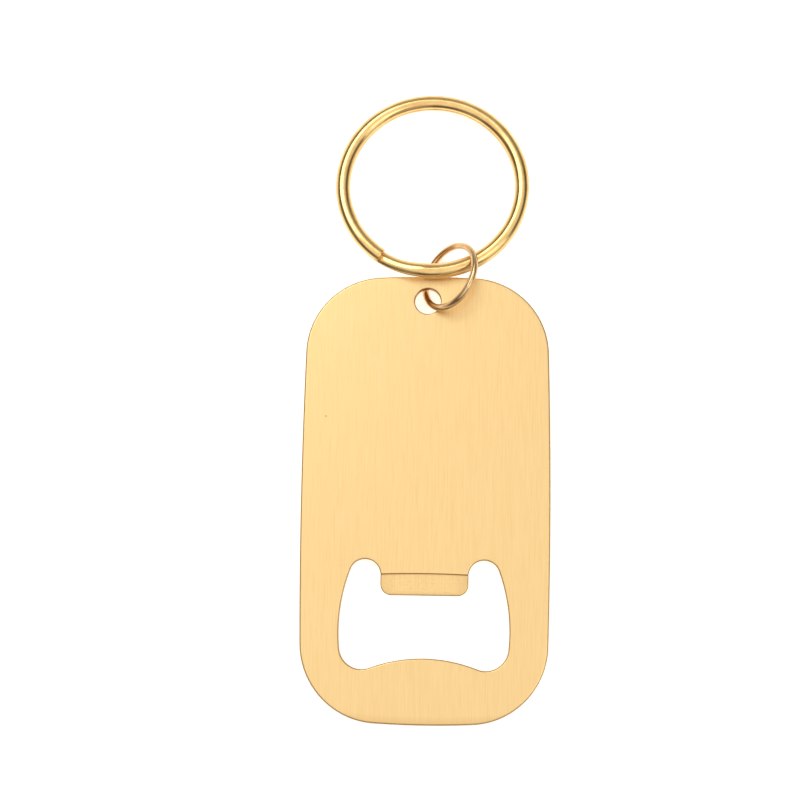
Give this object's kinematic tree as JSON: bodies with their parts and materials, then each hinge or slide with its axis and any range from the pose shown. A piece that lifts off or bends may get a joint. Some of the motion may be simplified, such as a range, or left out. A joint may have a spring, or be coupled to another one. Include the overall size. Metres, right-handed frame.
{
  "type": "keychain bottle opener",
  "caption": "Flat rounded-corner plate bottle opener with a cap mouth and pressed lip at one end, hung by a jump ring from a two-turn split key ring.",
  "frame": {"origin": "middle of the plate's back face, halfway along its length and width", "axes": "+X across the plate, +Y along the plate towards the rings, +Z out of the front face; the opener lies on its back"},
  "size_m": [0.04, 0.103, 0.009],
  "materials": {
    "plate_gold": "gold-tone plating, fine brushing along the length",
    "ring_gold": "gold-tone plating, polished, slightly darker",
    "key_ring_gold": "gold-tone plating, polished"
  },
  "bodies": {
    "plate": {"opener_plate": "plate_gold"},
    "jump_ring": {"jump_ring": "ring_gold"},
    "split_ring": {"split_ring": "key_ring_gold"}
  },
  "joints": [
    {"name": "rings_fold", "type": "hinge", "parent": "plate", "child": "jump_ring", "pos_m": [0.00268, 0.03475, 0.0025], "axis": [0.5417, -0.4545, -0.7071], "range_deg": [0, 90]},
    {"name": "split_ring_turn", "type": "hinge", "parent": "jump_ring", "child": "split_ring", "pos_m": [0.00051, 0.05116, 0.00174], "axis": [0.0087, 0.0993, 0.995], "continuous": true}
  ]
}
